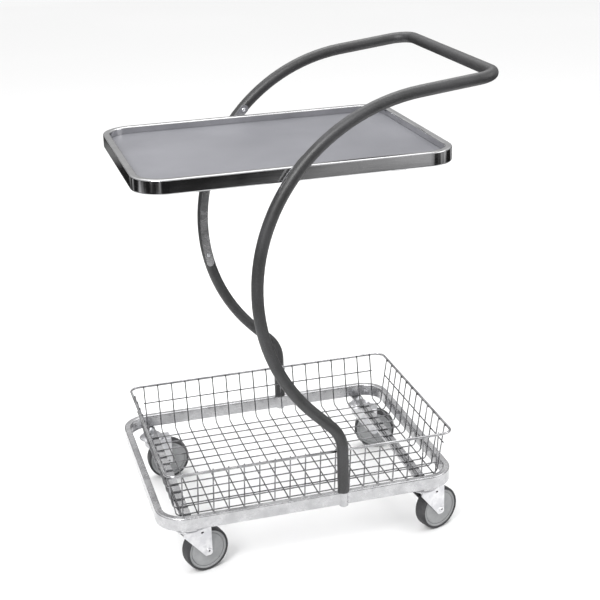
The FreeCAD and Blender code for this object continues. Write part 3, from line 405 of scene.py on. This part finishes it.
def makeScrewTree():
    # heads set on marked points, each facing its own way and stopped at its own angle
    tree, graph, given = newTree("screwHeads", (
        ("Geometry", "Geometry"), ("Head", "Object"), ("Seed", "Int"), ("Material", "Material")))
    facing = graph.add("GeometryNodeInputNamedAttribute", {"data_type": "FLOAT_VECTOR"},
                       {"Name": "facing"})
    turn = graph.add("FunctionNodeAlignRotationToVector", {"axis": "Z"}, {"Vector": facing})
    angle = graph.add("FunctionNodeRandomValue", {"data_type": "FLOAT"},
                      {2: 0.0, 3: 3.0, "Seed": given["Seed"]}, 1)
    spin = graph.add("ShaderNodeCombineXYZ", None, {"Z": angle})
    own = graph.add("FunctionNodeEulerToRotation", None, {"Euler": spin})
    both = graph.add("FunctionNodeRotateRotation", {"rotation_space": "LOCAL"},
                     {"Rotation": turn, "Rotate By": own})
    head = graph.add("GeometryNodeObjectInfo", None, {"Object": given["Head"]}, "Geometry")
    heads = graph.add("GeometryNodeInstanceOnPoints", None,
                      {"Points": given["Geometry"], "Instance": head, "Rotation": both})
    endTree(graph, heads, given["Material"])
    return tree


wireTree = makeWireTree()
nuggetTree = makeNuggetTree()
beadTree = makeBeadTree()
screwTree = makeScrewTree()
print("trees made")


def wirePath(reach, middle, top, foot, floor, crest, across):
    # the four corners of a bent wire: rim, foot, foot, rim
    points = []
    for side, height, out in ((-1, crest, top), (-1, floor, foot), (1, floor, foot), (1, crest, top)):
        along = middle + side * out
        points.append(Vector((reach, along, height)) if across else Vector((along, reach, height)))
    return points


def footOf(run, top, rise, fold):
    # where the wall would meet the floor if it had no fold
    foot = run
    for _ in range(6):  # settles within a few rounds
        foot = run + fold * math.tan(math.atan2(rise, top - foot) / 2)
    return foot


def sweptPath(name, points, radius, fold, copies, step, material, closed=False):
    edges = [(index, index + 1) for index in range(len(points) - 1)]
    if closed:
        edges.append((len(points) - 1, 0))
    values = {"Radius": radius, "Fold": fold, "Copies": copies, "Step": step, "Material": material}
    return runTree(name, wireTree, meshFrom(name, points, edges), values)


def makeBasket():
    rimLow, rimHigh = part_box("basket_rim")
    crossLow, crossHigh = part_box("basket_floor_cross_wires")
    longLow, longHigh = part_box("basket_floor_long_wires")
    rearLow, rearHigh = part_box("basket_wall_rear")
    rightLow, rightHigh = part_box("basket_wall_right")
    thick = (rimHigh.z - rimLow.z) / 2
    thin = (crossHigh.z - crossLow.z) / 2
    middle = (rimLow + rimHigh) / 2
    crest = rimHigh.z
    crossZ = (crossLow.z + crossHigh.z) / 2
    longZ = (longLow.z + longHigh.z) / 2
    fold = basket["fold"]
    topY = rightHigh.y - thin
    footY = footOf(rightLow.y, topY, crest - crossZ, fold)
    topX = rearHigh.x - middle.x - thin
    footX = footOf(rearLow.x - middle.x, topX, crest - longZ, fold)
    crossX = [crossLow.x + thin, crossHigh.x - thin]
    longY = [longLow.y + thin, longHigh.y - thin]
    crossStep = (crossX[1] - crossX[0]) / (basket["crossWires"] - 1)
    longStep = (longY[1] - longY[0]) / (basket["longWires"] - 1)
    outward = 2 * thin - basket["weldSink"]

    rows = [sweptPath("crossWires", wirePath(crossX[0], 0.0, topY, footY, crossZ, crest, True),
                      thin, fold, basket["crossWires"], (crossStep, 0, 0), wireSteel)]
    for side, drop in ((-1, "leftWireDrop"), (1, "sideWireDrop")):
        height = middle.z - basket[drop]
        out = footY + (topY - footY) * (height - crossZ) / (crest - crossZ) + outward
        ends = [Vector((crossX[0] - basket["overhang"], side * out, height)),
                Vector((crossX[1] + basket["overhang"], side * out, height))]
        rows.append(sweptPath("alongWall", ends, thin, 0.0, 1, (0, 0, 0), wireSteel))
    finish(newPiece("basketCrossWires", joinMeshes("basketCrossWires", rows)), "basket", "basket_wire",
           "basket_floor_cross_wires", "basket_wall_left", "basket_wall_right")

    rows = [sweptPath("longWires", wirePath(longY[0], middle.x, topX, footX, longZ, crest, False),
                      thin, fold, basket["longWires"], (0, longStep, 0), wireSteel)]
    for side in (-1, 1):
        height = middle.z - basket["sideWireDrop"]
        out = footX + (topX - footX) * (height - longZ) / (crest - longZ) + outward
        ends = [Vector((middle.x + side * out, longY[0] - basket["overhang"], height)),
                Vector((middle.x + side * out, longY[1] + basket["overhang"], height))]
        rows.append(sweptPath("acrossWall", ends, thin, 0.0, 1, (0, 0, 0), wireSteel))
    finish(newPiece("basketLongWires", joinMeshes("basketLongWires", rows)), "basket", "basket_wire",
           "basket_floor_long_wires", "basket_wall_front", "basket_wall_rear")

    low = rimLow + Vector((thick, thick, thick))
    high = rimHigh - Vector((thick, thick, thick))
    ring = [Vector((low.x, low.y, low.z)), Vector((high.x, low.y, low.z)),
            Vector((high.x, high.y, low.z)), Vector((low.x, high.y, low.z))]
    rim = sweptPath("rim", ring, thick, basket["rimCorner"], 1, (0, 0, 0), rimHighlightSteel, True)
    finish(newPiece("basketRim", rim), "basket", "basket_wire", "basket_rim")

    spots = []
    xs = [crossX[0] + crossStep * index for index in range(basket["crossWires"])]
    ys = [longY[0] + longStep * index for index in range(basket["longWires"])]
    for x in xs:
        spots += [Vector((x, y, (crossZ + longZ) / 2)) for y in ys]
        spots += [Vector((x, side * (topY + thin), middle.z - thin)) for side in (-1, 1)]
    for y in ys:
        spots += [Vector((middle.x + side * (topX + thin), y, middle.z - thin)) for side in (-1, 1)]
    values = {"Radius": basket["nugget"], "Seed": basket["nuggetSeed"], "Material": wireSteel}
    nuggets = runTree("nuggets", nuggetTree, meshFrom("spots", spots), values)
    finish(newPiece("basketWelds", nuggets), "basket", "basket_wire")


makeBasket()
print("basket made")


def islands(node):
    # boxes of the separate solids in a CAD node
    copy = bmesh.new()
    copy.from_mesh(frame["nodes"][node].data)
    bmesh.ops.remove_doubles(copy, verts=copy.verts, dist=1e-5)
    left = set(copy.verts)
    boxes = []
    while left:
        stack = [left.pop()]
        found = [stack[0].co.copy()]
        while stack:
            for edge in stack.pop().link_edges:
                for vert in edge.verts:
                    if vert in left:
                        left.remove(vert)
                        stack.append(vert)
                        found.append(vert.co.copy())
        low = Vector([min(point[axis] for point in found) for axis in range(3)])
        high = Vector([max(point[axis] for point in found) for axis in range(3)])
        boxes.append((low, high))
    copy.free()
    return sorted(boxes, key=lambda pair: tuple(pair[0]))


screw = {"headRadius": 0.0045, "headHeight": 0.0024, "recessLength": 0.0048, "recessWidth": 0.0011,
         "recessDepth": 0.0015, "seed": 3}


def lathe(name, outline, material, closed=True, steps=72):
    # turns an outline of (radius, height) about the upright axis
    count = len(outline)
    points = []
    for step in range(steps):
        angle = 2 * math.pi * step / steps
        points += [(r * math.cos(angle), r * math.sin(angle), z) for r, z in outline]
    faces = []
    for step in range(steps):
        following = (step + 1) % steps
        for index in range(count if closed else count - 1):
            after = (index + 1) % count
            faces.append((step * count + index, following * count + index,
                          following * count + after, step * count + after))
    mesh = meshFrom(name, points, (), faces)
    work = bmesh.new()
    work.from_mesh(mesh)
    bmesh.ops.remove_doubles(work, verts=work.verts, dist=1e-6)
    bmesh.ops.recalc_face_normals(work, faces=work.faces)
    work.to_mesh(mesh)
    work.free()
    mesh.materials.append(material)
    mesh.shade_smooth()
    return mesh


def soften(corners, radius, steps=4):
    # rounds the corners of a closed outline
    rounded = []
    count = len(corners)
    for index in range(count):
        point = Vector(corners[index])
        back = Vector(corners[index - 1]) - point
        ahead = Vector(corners[(index + 1) % count]) - point
        reach = min(radius, back.length * 0.45, ahead.length * 0.45)
        start = point + back.normalized() * reach
        end = point + ahead.normalized() * reach
        for step in range(steps + 1):
            t = step / steps
            rounded.append(tuple(start * (1 - t) ** 2 + point * 2 * t * (1 - t) + end * t ** 2))
    return rounded


def boxMesh(name, length, width, height):
    points = [(x * length / 2, y * width / 2, z * height / 2)
              for x in (-1, 1) for y in (-1, 1) for z in (-1, 1)]
    faces = [(0, 1, 3, 2), (4, 6, 7, 5), (0, 4, 5, 1), (2, 3, 7, 6), (0, 2, 6, 4), (1, 5, 7, 3)]
    return meshFrom(name, points, (), faces)


def makeScrewHead():
    radius = screw["headRadius"]
    height = screw["headHeight"]
    dome = [(0.0, 0.0), (radius * 0.96, 0.0), (radius, height * 0.16), (radius * 0.97, height * 0.45),
            (radius * 0.86, height * 0.74), (radius * 0.62, height * 0.93),
            (radius * 0.3, height * 0.99), (0.0, height)]
    head = newPiece("screwHead", lathe("screwHead", dome, fastenerSteel, False, 32))
    for turn in (0.0, math.pi / 2):
        blade = newPiece("recess", boxMesh("recess", screw["recessLength"], screw["recessWidth"],
                                           screw["recessDepth"] * 2))
        blade.data.transform(Matrix.Translation((0, 0, height)) @ Matrix.Rotation(turn, 4, "Z"))
        cutter = head.modifiers.new("recess", "BOOLEAN")
        cutter.operation = "DIFFERENCE"
        cutter.object = blade
        bpy.context.view_layer.update()
        seen = bpy.context.evaluated_depsgraph_get()
        shaped = bpy.data.meshes.new_from_object(head.evaluated_get(seen))
        head.modifiers.remove(cutter)
        head.data = shaped
        bpy.data.objects.remove(blade)
    return head


def markedPoints(name, marks):
    mesh = meshFrom(name, [place for place, facing in marks])
    mesh.attributes.new("facing", "FLOAT_VECTOR", "POINT")
    for entry, (place, facing) in zip(mesh.attributes["facing"].data, marks):
        entry.vector = facing
    return mesh


def makeScrews():
    head = makeScrewHead()
    height = screw["headHeight"]
    sets = {"peg_screws": [], "panel_screws": [], "bracket_screws": []}
    for low, high in islands("peg_screws"):
        middle = (low + high) / 2
        sets["peg_screws"].append((Vector((high.x - height, middle.y, middle.z)), Vector((1, 0, 0))))
    for low, high in islands("panel_screws"):
        middle = (low + high) / 2
        sets["panel_screws"].append((Vector((middle.x, middle.y, low.z + height)), Vector((0, 0, -1))))
    for low, high in islands("bracket_screws"):
        middle = (low + high) / 2
        inner = low.y + height if middle.y > 0 else high.y - height
        facing = Vector((0, -1 if middle.y > 0 else 1, 0))
        sets["bracket_screws"].append((Vector((middle.x, inner, middle.z)), facing))
    for seed, (node, marks) in enumerate(sets.items(), screw["seed"]):
        values = {"Head": head, "Seed": seed, "Material": fastenerSteel}
        mesh = runTree(node + "Heads", screwTree, markedPoints(node, marks), values)
        finish(newPiece(node + "Heads", mesh), "trolley", "fastener_steel", node)
    bpy.data.objects.remove(head)


weld = {"radius": 0.0019, "pitch": 0.0016, "lap": 0.008, "tabInset": 0.002, "tabSize": 0.8,
        "seed": 20}


def beadAlong(name, points, seed, scale=1.0):
    edges = [(index, index + 1) for index in range(len(points) - 1)]
    values = {"Radius": weld["radius"] * scale, "Pitch": weld["pitch"] * scale, "Seed": seed,
              "Material": weldMetal}
    return runTree(name, beadTree, meshFrom(name, points, edges), values)


def makeWelds():
    beads = []
    inset = weld["tabInset"]
    seed = weld["seed"]
    for end in ("front", "rear"):
        low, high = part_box("cross_member_" + end)
        for side, edge in ((-1, low.y), (1, high.y)):
            inner = edge - side * weld["lap"]
            path = [Vector((low.x, inner, high.z)), Vector((low.x, edge, high.z)),
                    Vector((high.x, edge, high.z)), Vector((high.x, inner, high.z))]
            beads.append(beadAlong("memberBead", path, seed))
            seed += 1
    for tab in ("front_left", "front_right", "rear_left", "rear_right"):
        low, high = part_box("panel_tab_" + tab)
        edge = low.y if low.y < 0 else high.y
        path = [Vector((low.x + inset, edge, high.z)), Vector((high.x - inset, edge, high.z))]
        beads.append(beadAlong("tabBead", path, seed, weld["tabSize"]))
        seed += 1
    for tab in ("front_end", "rear_end"):
        low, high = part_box("panel_tab_" + tab)
        edge = low.x if low.x < 0 else high.x
        path = [Vector((edge, low.y + inset, high.z)), Vector((edge, high.y - inset, high.z))]
        beads.append(beadAlong("tabBead", path, seed, weld["tabSize"]))
        seed += 1
    finish(newPiece("frameWelds", joinMeshes("frameWelds", beads)), "trolley", "zinc")


makeScrews()
makeWelds()
print("screws and welds made")


wheel = {"tyre": 0.0055, "core": 0.0130, "web": 0.0120, "hub": 0.0120, "hubEnd": 0.0160,
         "bore": 0.00555, "grooveOut": 0.0395, "grooveIn": 0.0380, "grooveDepth": 0.0015, "tread": 0.0150,
         "treadRound": 0.0042}
race = {"lip": 0.0012, "shoulder": 0.0048, "stem": 0.0040}


def wheelMatrix(corner):
    joint = joints["roll_" + corner]
    axis = Vector(joint["axis"]).normalized()
    return Matrix.Translation(joint["pos_m"]) @ axis.to_track_quat("Z", "Y").to_matrix().to_4x4()


def makeWheels():
    for corner in corners:
        low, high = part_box("tyre_" + corner)
        turn = wheelMatrix(corner)
        outer = min((high.z - low.z) / 2, Vector(joints["roll_" + corner]["pos_m"]).z)
        rim = outer - wheel["tyre"]
        side = [(wheel["bore"], wheel["hubEnd"]), (wheel["hub"] - 0.002, wheel["hubEnd"]),
                (wheel["hub"], wheel["web"]), (wheel["grooveIn"], wheel["web"]),
                (wheel["grooveIn"] + 0.0002, wheel["web"] - wheel["grooveDepth"]),
                (wheel["grooveOut"] - 0.0002, wheel["web"] - wheel["grooveDepth"]),
                (wheel["grooveOut"], wheel["core"]), (rim, wheel["core"])]
        outline = [(r, -z) for r, z in side] + side[::-1]
        core = lathe("wheelCore", soften(outline, 0.0006), discPlastic)
        core.transform(turn)
        finish(newPiece("wheelCore_" + corner, core), "wheel_" + corner, "wheel_plastic",
               "wheel_" + corner)
        half = wheel["tread"]
        bend = wheel["treadRound"]
        tread = [(rim, -half), (outer - bend, -half), (outer - bend * 0.3, -half + bend * 0.3),
                 (outer - 0.0002, -half + bend), (outer, -half * 0.3), (outer, -0.0004),
                 (outer - 0.0003, 0.0), (outer, 0.0004), (outer, half * 0.3),
                 (outer - 0.0002, half - bend), (outer - bend * 0.3, half - bend * 0.3),
                 (outer - bend, half), (rim, half)]
        ring = lathe("wheelTread", soften(tread, 0.0009, 3), treadRubber)
        ring.transform(turn)
        finish(newPiece("wheelTread_" + corner, ring), "wheel_" + corner, "tyre_rubber",
               "tyre_" + corner)


def makeRaces():
    for corner in corners:
        low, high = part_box("swivel_race_" + corner)
        middle = (low + high) / 2
        outer = (high.x - low.x) / 2
        shoulder = race["shoulder"]
        outline = [(race["stem"], low.z), (outer - 0.004, low.z), (outer - 0.0032, low.z + 0.0014),
                   (outer - race["lip"], low.z + 0.0006), (outer, low.z + race["lip"]),
                   (outer, low.z + 0.0032), (outer - shoulder * 0.4, low.z + 0.0050),
                   (outer - shoulder, low.z + 0.0060), (outer - shoulder * 1.5, low.z + 0.0085),
                   (outer - shoulder * 1.75, high.z), (race["stem"], high.z)]
        shell = lathe("swivelHousing", soften(outline, 0.0008), castorSteel)
        shell.transform(Matrix.Translation((middle.x, middle.y, 0)))
        finish(newPiece("swivelHousing_" + corner, shell), "trolley", "castor_steel",
               "swivel_race_" + corner)


bolt = {"shank": 0.0038, "headBottom": 0.0056, "headTop": 0.0079, "head": 0.0050, "edge": 0.0010}


def makeBolts():
    # the bolts that the castors turn on, their shanks just clear of the forks
    meshes = []
    for low, high in islands("castor_stems"):
        middle = (low + high) / 2
        seat = low.z + bolt["head"]
        outline = [(0.0, low.z), (bolt["headBottom"] - bolt["edge"], low.z),
                   (bolt["headBottom"], low.z + bolt["edge"]), (bolt["headTop"], seat - bolt["edge"]),
                   (bolt["headTop"], seat), (bolt["shank"], seat), (bolt["shank"], high.z),
                   (0.0, high.z)]
        mesh = lathe("castorBolt", outline, fastenerSteel, False, 48)
        mesh.transform(Matrix.Translation((middle.x, middle.y, 0)))
        meshes.append(mesh)
    finish(newPiece("castorBolts", joinMeshes("castorBolts", meshes)), "trolley", "fastener_steel",
           "castor_stems")


makeWheels()
makeRaces()
makeBolts()
print("castors made")


studio = {"floor": 30.0, "horizon": 0.22, "zenith": 1.52, "backdrop": 0.96,
          "keyPower": 115.0, "fillPower": 20.0, "topPower": 45.0, "cardInner": 1.15, "cardOuter": 9.0,
          "cardHeight": 0.002, "cardDark": 0.01, "cardLight": 0.45, "cardSteps": 64}
shot = {"place": (-0.7129, -2.6189, 1.535), "forward": (0.2494, 0.9011, -0.3546), "roll": -1.81,
        "lens": 77.98, "sensor": 36.0}


def stageObject(name, mesh, material):
    mesh.materials.clear()
    mesh.materials.append(material)
    item = newPiece(name, mesh)
    return item


def makeFloor():
    half = studio["floor"]
    mesh = meshFrom("floor", [(-half, -half, 0), (half, -half, 0), (half, half, 0), (-half, half, 0)],
                    (), [(0, 1, 2, 3)])
    material, graph, shader = newMaterial("paleFloor", {"Base Color": (0.86, 0.86, 0.86, 1.0),
                                                        "Roughness": 0.9, "Specular IOR Level": 0.1})
    stageObject("floor", mesh, material)


def makeCard():
    # a dark ring on the floor that only reflections see, to give the plating contrast
    points = []
    steps = studio["cardSteps"]
    for step in range(steps):
        angle = 2 * math.pi * step / steps
        for radius in (studio["cardInner"], studio["cardOuter"]):
            points.append((radius * math.cos(angle), radius * math.sin(angle), studio["cardHeight"]))
    faces = [(2 * i, 2 * i + 1, (2 * i + 3) % (2 * steps), (2 * i + 2) % (2 * steps))
             for i in range(steps)]
    material, graph, shader = newMaterial("darkCard", {"Roughness": 1.0, "Specular IOR Level": 0.0})
    shades = graph.noise(0.75, 1.0, 0.4)
    feed(graph, shader, colour=graph.ramp(shades, studio["cardDark"], studio["cardLight"], 0.50, 0.70))
    card = stageObject("darkCard", meshFrom("darkCard", points, (), faces), material)
    card.visible_camera = False
    card.visible_diffuse = False
    card.visible_shadow = False


def addSoftbox(name, place, target, size, power):
    light = bpy.data.lights.new(name, "AREA")
    light.shape = "RECTANGLE"
    light.size = size[0]
    light.size_y = size[1]
    light.energy = power
    lamp = newPiece(name, light)
    direction = Vector(target) - Vector(place)
    turn = direction.to_track_quat("-Z", "Y").to_matrix().to_4x4()
    lamp.matrix_world = Matrix.Translation(place) @ turn


def addCamera():
    camera = bpy.data.cameras.new("camera")
    camera.lens = shot["lens"]
    camera.sensor_width = shot["sensor"]
    camera.clip_end = 100.0
    holder = newPiece("camera", camera)
    forward = Vector(shot["forward"]).normalized()
    side = forward.cross(Vector((0, 0, 1))).normalized()
    up = side.cross(forward)
    roll = math.radians(shot["roll"])
    right = side * math.cos(roll) + up * math.sin(roll)
    upright = up * math.cos(roll) - side * math.sin(roll)
    turn = Matrix((right, upright, -forward)).transposed().to_4x4()
    holder.matrix_world = Matrix.Translation(shot["place"]) @ turn
    bpy.context.scene.camera = holder


def addSky():
    # soft light from all round, brighter overhead than near the horizon
    world = bpy.data.worlds.new("studio")
    bpy.context.scene.world = world
    world.use_nodes = True
    graph = Graph(world.node_tree)
    direction = graph.add("ShaderNodeTexCoord", output="Generated")
    height = graph.add("ShaderNodeSeparateXYZ", None, {"Vector": direction}, "Z")
    raised = graph.add("ShaderNodeMath", {"operation": "MAXIMUM"}, {0: height, 1: 0.0})
    glow = studio["horizon"] + raised * (studio["zenith"] - studio["horizon"])
    direct = graph.add("ShaderNodeLightPath", output="Is Camera Ray")
    glow = glow + direct * (studio["backdrop"] - glow)  # the sky itself shows as a pale backdrop
    graph.tree.links.new(glow.socket, world.node_tree.nodes["Background"].inputs["Strength"])
    world.node_tree.nodes["Background"].inputs["Color"].default_value = (1, 1, 1, 1)


addSky()
bpy.context.scene.view_settings.view_transform = "Standard"
makeFloor()
makeCard()
addSoftbox("keyLight", (-2.2, -2.4, 3.0), (0, 0, 0.5), (1.6, 1.6), studio["keyPower"])
addSoftbox("fillLight", (2.8, -1.2, 2.2), (0, 0, 0.5), (1.8, 1.8), studio["fillPower"])
addSoftbox("topLight", (0.3, 1.4, 3.4), (0, 0, 0.5), (2.4, 2.0), studio["topPower"])
addCamera()
print("stage set")
